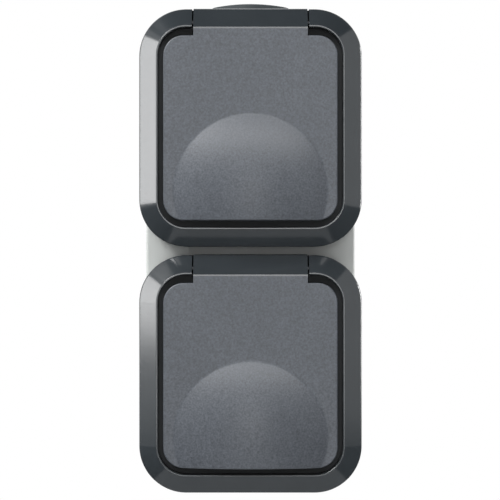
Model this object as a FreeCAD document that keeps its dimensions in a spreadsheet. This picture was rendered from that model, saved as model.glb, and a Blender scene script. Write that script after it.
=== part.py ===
import FreeCAD, Part
import os
import re
import Sketcher

# Two weatherproof earthed sockets, one above the other, on one surface wall box.
# Lengths are in millimetres. The origin is the middle of the back face, on the wall.
# X runs to the right and Z up. The front faces -Y, so a depth is a distance in front of the wall.

SIZES = {
    # Plan of the cover frames and the box behind them
    "frame_wide": 68.0,
    "frame_tall": 72.6,
    "gang_gap": 2.6,
    "frame_corner": 14.4,
    "frame_overhang": 1.5,
    # Wall box
    "box_deep": 30.0,
    "box_wall": 2.2,
    "box_back": 2.5,
    "box_round": 0.8,
    "web_tall": 20.0,
    "web_thick": 2.2,
    "rib_wide": 30.0,
    "gap_recess_wide": 38.4,
    "gap_recess_tall": 3.4,
    "gap_recess_deep": 0.8,
    # Cover frame, from the box rim forward
    "rim_clear": 0.2,
    "deck_rise": 11.0,
    "deck_thick": 2.2,
    "flank_rise": 1.5,
    "flank_round": 0.8,
    "ridge_rise": 4.5,
    "ridge_run": 5.35,
    "ridge_flat": 0.5,
    "ridge_round": 0.22,
    "skirt_wall": 1.6,
    "lip_wall": 1.4,
    "lip_reach": 2.5,
    "lip_clear": 0.3,
    # Lid
    "moat_side": 1.65,
    "moat_top": 2.55,
    "moat_bottom": 2.15,
    "lid_corner": 6.1,
    "lid_plate": 2.2,
    "lid_wall": 1.8,
    "lid_clear": 0.6,
    "lid_round": 0.4,
    "swing_wall": 1.2,
    "corner_swing": 0.75,
    "corner_swing_wide": 3.6,
    "dome_radius": 23.7,
    "dome_rise": 4.5,
    "dome_blend": 2.0,
    "dome_flat": 0.3,
    "dome_drop": 19.2,
    # Hinge
    "hinge_drop": 4.15,
    "knuckle_wide": 34.8,
    "knuckle_side_clear": 0.45,
    "trough_clear": 0.35,
    "trough_wall": 1.3,
    "ear_thick": 3.4,
    "pin_radius": 1.1,
    "pin_grip": 2.6,
    "pin_end_clear": 0.15,
    "pin_fit": 0.02,
    "pin_running": 0.06,
    "sill_drop": 1.2,
    # Torsion spring that shuts the lid
    "wire_radius": 0.35,
    "coil_radius": 1.9,
    "coil_pitch": 1.1,
    "coil_turns": 4.5,
    "spring_room": 2.9,
    "spring_slot": 8.0,
    "leg_clear": 0.15,
    # Seals
    "seal_thick": 1.0,
    "seal_wide": 1.9,
    "ring_inner": 22.4,
    "ring_outer": 24.2,
    "ring_squash": 0.3,
    "ring_thick": 1.7,
    # Plug recess
    "recess_radius": 19.5,
    "recess_deep": 17.5,
    "cup_wall": 2.0,
    "cup_floor": 3.0,
    "cup_clear": 0.3,
    "flange_radius": 25.0,
    "flange_thick": 2.2,
    "mouth_chamfer": 0.5,
    "guide_wide": 5.0,
    "guide_high": 2.4,
    "guide_short": 3.5,
    "slot_wide": 6.6,
    "slot_deep": 3.2,
    "slot_back": 1.1,
    "pin_spacing": 19.0,
    "pin_hole": 2.7,
    # Insert behind the recess
    "base_wide": 42.0,
    "base_tall": 38.0,
    "base_corner": 6.0,
    "base_deep": 16.2,
    "base_floor": 1.6,
    "chamber_half": 4.4,
    "chamber_up": 16.6,
    "strap_wide": 5.6,
    "strap_thick": 0.8,
    "strap_sunk": 3.4,
    "strap_clear": 0.4,
    "ear_inset": 4.3,
    "ear_wide": 7.0,
    "ear_plate": 2.5,
    "ear_sunk": 3.4,
    # Contacts
    "sleeve_bore": 2.45,
    "sleeve_wall": 0.8,
    "sleeve_slit": 0.9,
    "contact_clear": 0.4,
    "terminal_up": 12.3,
    "terminal_size": 7.0,
    "terminal_deep": 7.0,
    "tail_wide": 4.0,
    "wire_hole": 1.7,
    # Screws and posts
    "cover_screw_in": 12.5,
    "cover_screw_down": 14.3,
    "cover_screw_long": 22.0,
    "screw_radius": 1.4,
    "screw_fit": 0.05,
    "screw_head": 3.0,
    "head_thick": 1.3,
    "head_flare": 1.2,
    "head_round": 0.5,
    "head_clear": 0.1,
    "recess_arm": 0.4,
    "recess_reach": 1.6,
    "recess_cut": 0.8,
    "post_radius": 3.4,
    "post_clear": 0.3,
    "pilot_deep": 14.0,
    "insert_screw_long": 9.0,
    "terminal_screw_long": 6.0,
    "cup_screw_long": 9.0,
    # Fixing to the wall and cable entries
    "wall_hole": 2.2,
    "wall_hole_x": 12.0,
    "wall_hole_down": 10.8,
    "entry_radius": 8.2,
    "grommet_clear": 0.1,
    "grommet_lip": 2.6,
    "grommet_lip_thick": 1.1,
    "nozzle_long": 6.6,
    "nozzle_wall": 1.2,
    "cable_radius": 3.5,
    "gland_radius": 12.3,
    "gland_rise": 4.55,
    "gland_crown": 1.1,
    "gland_flat": 4.9,
}

DOC = FreeCAD.newDocument("weatherproof_socket")
SHEET = DOC.addObject("Spreadsheet::Sheet", "Sizes")
for row, (alias, size) in enumerate(SIZES.items(), start=1):
    SHEET.set(f"A{row}", alias)
    SHEET.set(f"B{row}", str(size))
    SHEET.setAlias(f"B{row}", alias)
DOC.recompute()

# Depths in front of the wall
DECK = "(box_deep + deck_rise)"
DECK_BACK = f"({DECK} - deck_thick)"
FLANK = f"({DECK} + flank_rise)"
RIDGE = f"({FLANK} + ridge_rise)"
SKIRT_BACK = "(box_deep + rim_clear)"
LID_BACK = f"({DECK} + lid_clear)"
LID_INSIDE = f"({RIDGE} - lid_plate)"
RECESS_FLOOR = f"({DECK} - recess_deep)"
CUP_BACK = f"({RECESS_FLOOR} - cup_floor)"
BASE_BACK = f"({CUP_BACK} - base_deep)"
STRAP = f"({CUP_BACK} - strap_sunk)"
EAR = f"({CUP_BACK} - ear_sunk)"
POST_TOP = "(box_deep - post_clear)"
STRAP_BACK = f"({STRAP} - strap_thick)"

# Plan sizes, measured from the middle of a gang
PITCH = "(frame_tall + gang_gap)"
HALF_TALL = "(frame_tall / 2)"
BOX_WIDE = "(frame_wide - 2 * frame_overhang)"
BOX_TALL = f"({PITCH} + frame_tall - 2 * frame_overhang)"
BOX_CORNER = "(frame_corner - frame_overhang)"
RIDGE_IN = "(ridge_run + ridge_flat)"
LID_WIDE = f"(frame_wide - 2 * {RIDGE_IN} - 2 * moat_side)"
LID_TOP = f"({HALF_TALL} - {RIDGE_IN} - moat_top)"
LID_BOTTOM = f"({HALF_TALL} - {RIDGE_IN} - moat_bottom)"
MOUTH_WIDE = f"({BOX_WIDE} - 2 * box_wall)"
MOUTH_TALL = f"({BOX_TALL} / 2 - box_wall - web_tall / 2)"
MOUTH_MIDDLE = f"(web_tall / 2 + {MOUTH_TALL} / 2)"
MOUTH_CORNER = f"({BOX_CORNER} - box_wall)"
LIP_TALL = f"({PITCH} - web_tall - 2 * lip_clear)"
COVER_SCREW_X = "(frame_wide / 2 - cover_screw_in)"
COVER_SCREW_Z = f"({HALF_TALL} - cover_screw_down)"
INSERT_SCREW_X = f"({MOUTH_WIDE} / 2 - ear_inset)"
WALL_HOLE_Z = f"({BOX_TALL} / 2 - wall_hole_down)"
ENTRY_DEPTH = "(box_deep / 2)"
SCREW_HOLE = "(screw_head - head_flare)"
COUNTERSINK = "(head_thick + head_clear)"

# Hinge axis, and how far the lid knuckle reaches from it
AXIS_Z = f"({HALF_TALL} - hinge_drop)"
AXIS_DEPTH = DECK
KNUCKLE = "sqrt(hinge_drop ^ 2 + flank_rise ^ 2)"
TROUGH = f"({KNUCKLE} + trough_clear)"
TROUGH_WIDE = "(knuckle_wide + 2 * knuckle_side_clear)"
SWING = f"(sqrt(({RIDGE_IN} - hinge_drop) ^ 2 + (flank_rise + ridge_rise) ^ 2) + trough_clear)"

GANGS = {"upper": 1, "lower": -1}


def number(text):
    """The value of an expression in the names of the sheet."""
    return float(SHEET.evalExpression(text))


def tied(text):
    """The same expression, with each size read from its cell."""
    return re.sub(r"[a-z][a-z_]*", lambda word: cell(word.group()), text)


def cell(word):
    return f"Sizes.{word}" if word in SIZES else word


def new_body(label, gang=0):
    """An empty body, at the middle of its gang or of the whole box."""
    body = DOC.addObject("PartDesign::Body", label)
    body.Label = label
    if gang:
        body.setExpression("Placement.Base.z", tied(f"{gang} * {PITCH} / 2"))
    return body


def new_sketch(body, role, ahead="0", across="0", up="0"):
    """A sketch on one of the body's own planes, moved along and across it."""
    plane = next(item for item in body.Origin.OriginFeatures if item.Role == role)
    sketch = body.newObject("Sketcher::SketchObject", f"{body.Name}_sketch")
    sketch.AttachmentSupport = (plane, [""])
    sketch.MapMode = "FlatFace"
    sketch.setExpression("AttachmentOffset.Base.x", tied(across))
    sketch.setExpression("AttachmentOffset.Base.y", tied(up))
    sketch.setExpression("AttachmentOffset.Base.z", tied(ahead))
    return sketch


def front_sketch(body, depth):
    """A sketch that faces the front: X to the right, Z up."""
    return new_sketch(body, "XZ_Plane", ahead=depth)


def side_sketch(body, up="0"):
    """A sketch seen from the side: minus the depth to the right, Z up."""
    return new_sketch(body, "YZ_Plane", up=up)


def bind(sketch, constraint, text):
    """Add a constraint whose size is an expression."""
    index = sketch.addConstraint(constraint)
    sketch.setExpression(f"Constraints[{index}]", tied(text))


def hold_point(sketch, shape, end, x, y):
    """Place one point of a drawn shape by its distances from the sketch's origin."""
    bind(sketch, Sketcher.Constraint("DistanceX", -1, 1, shape, end, number(x)), x)
    bind(sketch, Sketcher.Constraint("DistanceY", -1, 1, shape, end, number(y)), y)


def draw(sketch, corners):
    """Closed outline. A corner is (x, y), or (x, y, centre x, centre y, turn) where an arc starts."""
    first = sketch.GeometryCount
    places = [FreeCAD.Vector(number(corner[0]), number(corner[1]), 0) for corner in corners]
    count = len(corners)
    for index, corner in enumerate(corners):
        start = places[index]
        end = places[(index + 1) % count]
        if len(corner) == 2:
            sketch.addGeometry(Part.LineSegment(start, end), False)
        else:
            sketch.addGeometry(arc_between(start, end, corner), False)
    for index, corner in enumerate(corners):
        this = first + index
        following = first + (index + 1) % count
        ahead = 2 if runs_forward(corner) else 1
        behind = 1 if runs_forward(corners[(index + 1) % count]) else 2
        sketch.addConstraint(Sketcher.Constraint("Coincident", this, ahead, following, behind))
        hold_point(sketch, this, 1 if runs_forward(corner) else 2, corner[0], corner[1])
        if len(corner) == 5:
            reach = f"sqrt(({corner[0]} - {corner[2]}) ^ 2 + ({corner[1]} - {corner[3]}) ^ 2)"
            bind(sketch, Sketcher.Constraint("Radius", this, number(reach)), reach)


def runs_forward(corner):
    """An arc that turns clockwise is drawn from its far end."""
    return len(corner) == 2 or corner[4] > 0


def arc_between(start, end, corner):
    """The arc from start to end about its centre, counterclockwise where the turn is above zero."""
    centre = FreeCAD.Vector(number(corner[2]), number(corner[3]), 0)
    circle = Part.Circle(centre, FreeCAD.Vector(0, 0, 1), (start - centre).Length)
    first, last = (start, end) if corner[4] > 0 else (end, start)
    return Part.ArcOfCircle(circle, circle.parameter(first), circle.parameter(last))


def draw_rounded(sketch, wide, tall, corner, x="0", y="0"):
    """A rectangle with round corners about a middle point."""
    right = f"({x} + {wide} / 2)"
    left = f"({x} - {wide} / 2)"
    top = f"({y} + {tall} / 2)"
    bottom = f"({y} - {tall} / 2)"
    in_right = f"({right} - {corner})"
    in_left = f"({left} + {corner})"
    in_top = f"({top} - {corner})"
    in_bottom = f"({bottom} + {corner})"
    draw(sketch, [
        (in_left, bottom),
        (in_right, bottom, in_right, in_bottom, 1),
        (right, in_bottom),
        (right, in_top, in_right, in_top, 1),
        (in_right, top),
        (in_left, top, in_left, in_top, 1),
        (left, in_top),
        (left, in_bottom, in_left, in_bottom, 1),
    ])


def draw_box(sketch, left, right, bottom, top):
    """A plain rectangle between four sides."""
    draw(sketch, [(left, bottom), (right, bottom), (right, top), (left, top)])


def draw_circle(sketch, radius, x="0", y="0"):
    """A circle about a point."""
    centre = FreeCAD.Vector(number(x), number(y), 0)
    index = sketch.addGeometry(Part.Circle(centre, FreeCAD.Vector(0, 0, 1), number(radius)), False)
    hold_point(sketch, index, 3, x, y)
    bind(sketch, Sketcher.Constraint("Radius", index, number(radius)), radius)


def draw_six_sided(sketch, radius, x, y):
    """A hexagon about a point: thin wire, or a hole that its grommet can't turn in."""
    half = f"({radius} / 2)"
    rise = f"({radius} * sqrt(3) / 2)"
    turns = [(radius, "0"), (half, rise), (f"(-{half})", rise),
             (f"(-{radius})", "0"), (f"(-{half})", f"(-{rise})"), (half, f"(-{rise})")]
    draw(sketch, [(f"({x} + {across})", f"({y} + {up})") for across, up in turns])


def extrude(body, kind, sketch, length, both=False, back=False):
    """A pad or a pocket of a sketch, to one side, to the other, or half to each."""
    feature = body.newObject(f"PartDesign::{kind}", f"{body.Name}_{kind.lower()}")
    feature.Profile = sketch
    feature.setExpression("Length", tied(length))
    feature.SideType = "Symmetric" if both else "One side"
    feature.Reversed = back
    DOC.recompute()
    return feature


def pad(body, sketch, length, both=False, back=False):
    return extrude(body, "Pad", sketch, length, both, back)


def pocket(body, sketch, length, both=False, back=False):
    return extrude(body, "Pocket", sketch, length, both, back)


def revolve(body, sketch, axis):
    """A full turn of a sketch about one of its own axes."""
    feature = body.newObject("PartDesign::Revolution", f"{body.Name}_revolution")
    feature.Profile = sketch
    feature.ReferenceAxis = (sketch, [axis])
    feature.Angle = 360
    DOC.recompute()
    return feature


def edges_where(feature, test):
    """The names of a feature's edges that pass a test."""
    return [f"Edge{index}" for index, edge in enumerate(feature.Shape.Edges, start=1) if test(edge)]


def dress(body, kind, feature, test, **sizes):
    """A fillet or a chamfer on the edges that pass a test."""
    edges = edges_where(feature, test)
    if not edges:
        raise RuntimeError(f"{body.Label}: no edge for the {kind.lower()}")
    round_off = body.newObject(f"PartDesign::{kind}", f"{body.Name}_{kind.lower()}")
    round_off.Base = (feature, edges)
    for name, text in sizes.items():
        round_off.setExpression(name, tied(text))
    DOC.recompute()
    return round_off


def lies_at_depth(edge, depth, slack=0.02):
    """True for an edge whose whole run is at one depth."""
    box = edge.BoundBox
    level = -number(depth)
    return abs(box.YMin - level) < slack and abs(box.YMax - level) < slack


def is_circle(edge, radius):
    """True for a full circle or an arc of one radius."""
    return isinstance(edge.Curve, Part.Circle) and abs(edge.Curve.Radius - number(radius)) < 0.01


def is_wide(edge, least):
    """True for an edge that runs outside a square about the gang's middle."""
    box = edge.BoundBox
    reach = max(abs(box.XMin), abs(box.XMax), abs(box.ZMin), abs(box.ZMax))
    return reach > number(least)


def make_wall_box():
    """Open box with a ribbed cross web between the gangs, screw posts and cable holes."""
    body = new_body("wall_box")
    outline = front_sketch(body, "0")
    draw_rounded(outline, BOX_WIDE, BOX_TALL, BOX_CORNER)
    block = pad(body, outline, "box_deep")
    dress(body, "Fillet", block, lambda edge: edge.BoundBox.YLength < 0.01, Radius="box_round")
    mouths = front_sketch(body, "box_deep")
    for side in GANGS.values():
        draw_rounded(mouths, MOUTH_WIDE, MOUTH_TALL, MOUTH_CORNER, y=f"({side} * {MOUTH_MIDDLE})")
    pocket(body, mouths, "box_deep - box_back")
    between = front_sketch(body, "box_deep")
    draw_box(between, "(-gap_recess_wide / 2)", "(gap_recess_wide / 2)",
             "(-gap_recess_tall / 2)", "(gap_recess_tall / 2)")
    pocket(body, between, "gap_recess_deep")
    passage = front_sketch(body, "box_deep - web_thick")
    reach = f"(web_tall / 2 + {MOUTH_CORNER})"
    draw_box(passage, f"(-{MOUTH_WIDE} / 2)", f"({MOUTH_WIDE} / 2)", f"(-{reach})", reach)
    pocket(body, passage, "box_deep - web_thick - box_back")
    entries = new_sketch(body, "XY_Plane")
    draw_six_sided(entries, "(entry_radius * 2 / sqrt(3))", "0", f"(-{ENTRY_DEPTH})")
    pocket(body, entries, f"({BOX_TALL} + 2)", both=True)
    rib = front_sketch(body, "box_back")
    draw_box(rib, "(-rib_wide / 2)", "(rib_wide / 2)", "(-web_thick / 2)", "(web_thick / 2)")
    pad(body, rib, "box_deep - web_thick - box_back")
    add_posts(body, cover_post_spots(), f"({POST_TOP} - box_back)")
    add_posts(body, insert_post_spots(), f"({EAR} - ear_plate - box_back)")
    holes = front_sketch(body, "box_back")
    for x in ("wall_hole_x", "(-wall_hole_x)"):
        for z in (WALL_HOLE_Z, f"(-{WALL_HOLE_Z})"):
            draw_circle(holes, "wall_hole", x, z)
    pocket(body, holes, "2 * box_back")
    return body


def cover_post_spots():
    """Where the cover screws of both gangs go, from the middle of the box."""
    return [(f"({x} * {COVER_SCREW_X})", f"({gang} * {PITCH} / 2 + {z} * {COVER_SCREW_Z})")
            for gang in GANGS.values() for x in (1, -1) for z in (1, -1)]


def insert_post_spots():
    """Where the insert screws of both gangs go."""
    return [(f"({x} * {INSERT_SCREW_X})", f"({gang} * {PITCH} / 2)")
            for gang in GANGS.values() for x in (1, -1)]


def add_posts(body, spots, height):
    """Round posts from the back wall, each with a pilot hole for its screw."""
    posts = front_sketch(body, "box_back")
    for x, z in spots:
        draw_circle(posts, "post_radius", x, z)
    pad(body, posts, height)
    pilots = front_sketch(body, f"(box_back + {height})")
    for x, z in spots:
        draw_circle(pilots, "(screw_radius + screw_fit)", x, z)
    pocket(body, pilots, f"min(pilot_deep, {height})")


def make_cover_frame(name, gang):
    """Bevelled frame round the lid, with a deck, a lip into the box and a hinge trough."""
    body = new_body(f"cover_frame_{name}", gang)
    outline = front_sketch(body, SKIRT_BACK)
    draw_rounded(outline, "frame_wide", "frame_tall", "frame_corner")
    block = pad(body, outline, f"({RIDGE} - {SKIRT_BACK})")
    flank = dress(body, "Chamfer", block, lambda edge: lies_at_depth(edge, RIDGE),
                  Size="ridge_rise", Size2="ridge_run")
    flank.ChamferType = "Two distances"
    DOC.recompute()
    foot = dress(body, "Fillet", flank, lambda edge: lies_at_depth(edge, FLANK), Radius="flank_round")
    well = front_sketch(body, RIDGE)
    draw_rounded(well, f"(frame_wide - 2 * {RIDGE_IN})", f"(frame_tall - 2 * {RIDGE_IN})",
                 f"(frame_corner - {RIDGE_IN})")
    cut = pocket(body, well, f"({RIDGE} - {DECK})")
    dress(body, "Fillet", cut, lambda edge: lies_at_depth(edge, RIDGE), Radius="ridge_round")
    hollow_frame(body)
    add_hinge_trough(body)
    cut_deck(body)
    return body


def hollow_frame(body):
    """The space behind the deck and the bevel, and the lip that enters the box."""
    back = front_sketch(body, SKIRT_BACK)
    draw_rounded(back, "(frame_wide - 2 * skirt_wall)", "(frame_tall - 2 * skirt_wall)",
                 "(frame_corner - skirt_wall)")
    pocket(body, back, f"({DECK_BACK} - {SKIRT_BACK})", back=True)
    core = front_sketch(body, DECK_BACK)
    draw_rounded(core, "(frame_wide - 2 * skirt_wall)", "(frame_tall - 2 * skirt_wall)",
                 "(frame_corner - skirt_wall)")
    inset = f"({RIDGE_IN} - skirt_wall)"
    draw_rounded(core, f"(frame_wide - 2 * {inset})", f"(frame_tall - 2 * {inset})",
                 f"(frame_corner - {inset})")
    pocket(body, core, "deck_thick + flank_rise", back=True)
    lip = front_sketch(body, DECK_BACK)
    wide = f"({MOUTH_WIDE} - 2 * lip_clear)"
    corner = f"({MOUTH_CORNER} - lip_clear)"
    draw_rounded(lip, wide, LIP_TALL, corner)
    draw_rounded(lip, f"({wide} - 2 * lip_wall)", f"({LIP_TALL} - 2 * lip_wall)", f"({corner} - lip_wall)")
    pad(body, lip, f"({DECK_BACK} - box_deep + lip_reach)", back=True)


def add_hinge_trough(body):
    """A half-round trough along the top side, its two ears and the pin holes."""
    outer = f"({TROUGH} + trough_wall)"
    wall = side_sketch(body)
    draw(wall, [
        (f"(-{AXIS_DEPTH})", f"({AXIS_Z} - {outer})", f"(-{AXIS_DEPTH})", AXIS_Z, 1),
        (f"(-{AXIS_DEPTH} + {outer})", AXIS_Z),
        (f"(-{AXIS_DEPTH} + {outer})", f"({HALF_TALL} - skirt_wall / 2)"),
        (f"(-{FLANK})", f"({HALF_TALL} - skirt_wall / 2)"),
        (f"(-{FLANK})", f"({HALF_TALL} - {RIDGE_IN})"),
        (f"(-{AXIS_DEPTH})", f"({HALF_TALL} - {RIDGE_IN})"),
    ])
    pad(body, wall, f"({TROUGH_WIDE} + 2 * ear_thick)", both=True)
    round_cut = side_sketch(body)
    draw_circle(round_cut, TROUGH, f"(-{AXIS_DEPTH})", AXIS_Z)
    pocket(body, round_cut, TROUGH_WIDE, both=True)
    front_cut = side_sketch(body)
    draw(front_cut, [
        (f"(-{AXIS_DEPTH})", f"({HALF_TALL} - {RIDGE_IN} - 1)"),
        (f"(-{AXIS_DEPTH})", AXIS_Z),
        (f"(-{DECK} + sill_drop)", AXIS_Z),
        (f"(-{DECK} + sill_drop)", f"({HALF_TALL} + 1)"),
        (f"(-{RIDGE} - 1)", f"({HALF_TALL} + 1)"),
        (f"(-{RIDGE} - 1)", f"({HALF_TALL} - {RIDGE_IN} - 1)"),
    ])
    pocket(body, front_cut, TROUGH_WIDE, both=True)
    holes = side_sketch(body)
    draw_circle(holes, "(pin_radius + pin_fit)", f"(-{AXIS_DEPTH})", AXIS_Z)
    pocket(body, holes, f"({TROUGH_WIDE} + 2 * pin_grip + 2 * pin_end_clear)", both=True)


def cut_deck(body):
    """The round opening for the plug recess and the cover screw holes with their bosses."""
    spots = [(f"({x} * {COVER_SCREW_X})", f"({z} * {COVER_SCREW_Z})") for x in (1, -1) for z in (1, -1)]
    bosses = front_sketch(body, DECK_BACK)
    for x, z in spots:
        draw_circle(bosses, "post_radius", x, z)
    pad(body, bosses, f"({DECK_BACK} - box_deep)", back=True)
    opening = front_sketch(body, DECK)
    draw_circle(opening, "(recess_radius + cup_wall + cup_clear)")
    pocket(body, opening, "(deck_thick + 1)")
    holes = front_sketch(body, DECK)
    for x, z in spots:
        draw_circle(holes, SCREW_HOLE, x, z)
    drilled = pocket(body, holes, f"({DECK} - box_deep + 1)")
    dress(body, "Chamfer", drilled,
          lambda edge: lies_at_depth(edge, DECK) and is_circle(edge, SCREW_HOLE),
          Size=COUNTERSINK)


def make_lid(name, gang):
    """Flat lid with a turned-down edge, a domed lower half, a seal rib and a hinge knuckle."""
    solid = new_body(f"lid_block_{name}", gang)
    tall = f"({LID_TOP} + {LID_BOTTOM})"
    middle = f"(({LID_TOP} - {LID_BOTTOM}) / 2)"
    outline = front_sketch(solid, LID_BACK)
    draw_rounded(outline, LID_WIDE, tall, "lid_corner", y=middle)
    pad(solid, outline, f"({RIDGE} - {LID_BACK})")
    add_dome(solid, "0", LID_WIDE, tall, "lid_corner", middle)
    trimmed = solid.Tip
    dress(solid, "Fillet", trimmed, is_lid_rim, Radius="lid_round")
    clear_swing(solid)
    add_knuckle(solid)
    hollow = new_body(f"lid_hollow_{name}", gang)
    inner_wide = f"({LID_WIDE} - 2 * lid_wall)"
    inner_tall = f"({tall} - 2 * lid_wall)"
    inner_corner = "(lid_corner - lid_wall)"
    inside = front_sketch(hollow, f"({LID_BACK} - 1)")
    draw_rounded(inside, inner_wide, inner_tall, inner_corner, y=middle)
    pad(hollow, inside, f"({LID_INSIDE} - {LID_BACK} + 1)")
    add_dome(hollow, "lid_plate", inner_wide, inner_tall, inner_corner, middle)
    rib = front_sketch(hollow, f"({DECK} + ring_squash + ring_thick)")
    draw_circle(rib, "ring_outer")
    draw_circle(rib, "ring_inner")
    pocket(hollow, rib, "(2 * ridge_rise + 2 * dome_rise)", back=True)
    top_wall = side_sketch(hollow)
    draw_circle(top_wall, f"({SWING} + swing_wall)", f"(-{AXIS_DEPTH})", AXIS_Z)
    pocket(hollow, top_wall, "(2 * frame_wide)", both=True)
    lid = DOC.addObject("Part::Cut", f"hinged_lid_{name}")
    lid.Label = f"hinged_lid_{name}"
    lid.Base = solid
    lid.Tool = hollow
    DOC.recompute()
    return lid


def add_dome(body, inset, wide, tall, corner, middle):
    """The bulge of the lower half, a ball's cap with a soft foot, trimmed to the lid's outline.

    A tiny flat at its top keeps the ball's pole, where shading breaks, out of the surface.
    """
    level = f"({RIDGE} - {inset})"
    whole = "((dome_radius ^ 2 + dome_rise ^ 2) / (2 * dome_rise))"
    foot_radius = f"(dome_blend + {inset})"
    ball = f"({whole} - {foot_radius})"
    share = f"({ball} / {whole})"
    cap = side_sketch(body, up="(-dome_drop)")
    meet_radius = f"(dome_radius * {share})"
    meet_level = f"({level} + dome_rise - {ball} + {share} * ({whole} - dome_rise))"
    draw(cap, [
        (f"(-{level} + 1)", "0"),
        (f"(-{level} + 1)", "dome_radius"),
        (f"(-{level})", "dome_radius", f"(-{level} - {foot_radius})", "dome_radius", -1),
        (f"(-{meet_level})", meet_radius, f"(-{level} - dome_rise + {ball})", "0", 1),
        (f"(-{level} - dome_rise + {ball} - sqrt({ball} ^ 2 - dome_flat ^ 2))", "dome_flat"),
        (f"(-{level} - dome_rise + {ball} - sqrt({ball} ^ 2 - dome_flat ^ 2))", "0"),
    ])
    revolve(body, cap, "H_Axis")
    trim = front_sketch(body, f"({RIDGE} + 2 * dome_rise)")
    reach = "(2 * frame_tall)"
    draw_box(trim, f"(-{reach})", reach, f"(-{reach})", reach)
    draw_rounded(trim, wide, tall, corner, y=middle)
    pocket(body, trim, f"({RIDGE} + 2 * dome_rise - {LID_BACK} + 2)")


def clear_swing(body):
    """Room behind the lid's top edge for the frame's ridge as the lid swings, more at its corners."""
    swing = side_sketch(body)
    draw_circle(swing, SWING, f"(-{AXIS_DEPTH})", AXIS_Z)
    pocket(body, swing, "(2 * frame_wide)", both=True)
    start = f"({LID_WIDE} / 2 - corner_swing_wide)"
    for side in (1, -1):
        corner = new_sketch(body, "YZ_Plane", ahead=f"({side} * {start})")
        draw_circle(corner, f"({SWING} + corner_swing)", f"(-{AXIS_DEPTH})", AXIS_Z)
        pocket(body, corner, "(2 * corner_swing_wide)", back=side > 0)


def is_lid_rim(edge):
    """True for the lid's front edge, along the flat part and along the dome."""
    box = edge.BoundBox
    if box.YMin > -number(RIDGE) + 0.01 or box.YMax > -number(RIDGE) + 0.01:
        return False
    sample = edge.valueAt((edge.FirstParameter + edge.LastParameter) / 2)
    half = number(f"{LID_WIDE} / 2")
    corner = number("lid_corner")
    side = max(abs(sample.x) - half + corner, 0)
    low = max(-sample.z - number(LID_BOTTOM) + corner, 0)
    high = max(sample.z - number(LID_TOP) + corner, 0)
    return abs((side ** 2 + max(low, high) ** 2) ** 0.5 - corner) < 0.05


def add_knuckle(body):
    """The neck over the top edge, round behind, with the pin bore and the spring's slot."""
    profile = side_sketch(body)
    barrel_foot = f"({AXIS_Z} - sqrt({KNUCKLE} ^ 2 - lid_clear ^ 2))"
    root = f"({AXIS_Z} - {SWING} - swing_wall / 2)"
    draw(profile, [
        (f"(-{RIDGE})", root),
        (f"(-{LID_BACK})", root),
        (f"(-{LID_BACK})", barrel_foot, f"(-{AXIS_DEPTH})", AXIS_Z, 1),
        (f"(-{FLANK})", HALF_TALL),
        (f"(-{RIDGE})", f"({HALF_TALL} - {RIDGE_IN})"),
    ])
    pad(body, profile, "knuckle_wide", both=True)
    bore = side_sketch(body)
    draw_circle(bore, "(pin_radius + pin_running)", f"(-{AXIS_DEPTH})", AXIS_Z)
    pocket(body, bore, "(2 * knuckle_wide)", both=True)
    coil_room = side_sketch(body)
    draw_circle(coil_room, "spring_room", f"(-{AXIS_DEPTH})", AXIS_Z)
    pocket(body, coil_room, "spring_slot", both=True)
    leg_room = side_sketch(body)
    draw_box(leg_room, f"(-{AXIS_DEPTH} - coil_radius - 2 * wire_radius)", f"(-{AXIS_DEPTH} + 2 * {KNUCKLE})",
             "(ring_outer + leg_clear / 2)", AXIS_Z)
    pocket(body, leg_room, "spring_slot", both=True)
    back_room = side_sketch(body)
    draw_box(back_room, f"(-{AXIS_DEPTH})", f"(-{AXIS_DEPTH} + 2 * {KNUCKLE})",
             f"({AXIS_Z} - spring_room)", f"({AXIS_Z} + 2 * {KNUCKLE})")
    pocket(body, back_room, "spring_slot", both=True)


def make_lid_seal(name, gang):
    """Soft ring under the lid that meets the deck round the plug recess."""
    body = new_body(f"lid_seal_{name}", gang)
    ring = front_sketch(body, f"({DECK} + ring_squash)")
    draw_circle(ring, "ring_outer")
    draw_circle(ring, "ring_inner")
    pad(body, ring, "ring_thick")
    return body


def make_hinge_pin(name, gang):
    """Plain steel pin along X, held in the frame's two ears."""
    pin = DOC.addObject("Part::Cylinder", f"hinge_pin_{name}")
    pin.Label = f"hinge_pin_{name}"
    pin.setExpression("Radius", tied("pin_radius"))
    pin.setExpression("Height", tied(f"({TROUGH_WIDE} + 2 * pin_grip)"))
    pin.Placement.Rotation = FreeCAD.Rotation(FreeCAD.Vector(0, 1, 0), 90)
    pin.setExpression("Placement.Base.x", tied(f"(-{TROUGH_WIDE} / 2 - pin_grip)"))
    pin.setExpression("Placement.Base.y", tied(f"(-{AXIS_DEPTH})"))
    pin.setExpression("Placement.Base.z", tied(f"({gang} * {PITCH} / 2 + {AXIS_Z})"))
    return pin


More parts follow.
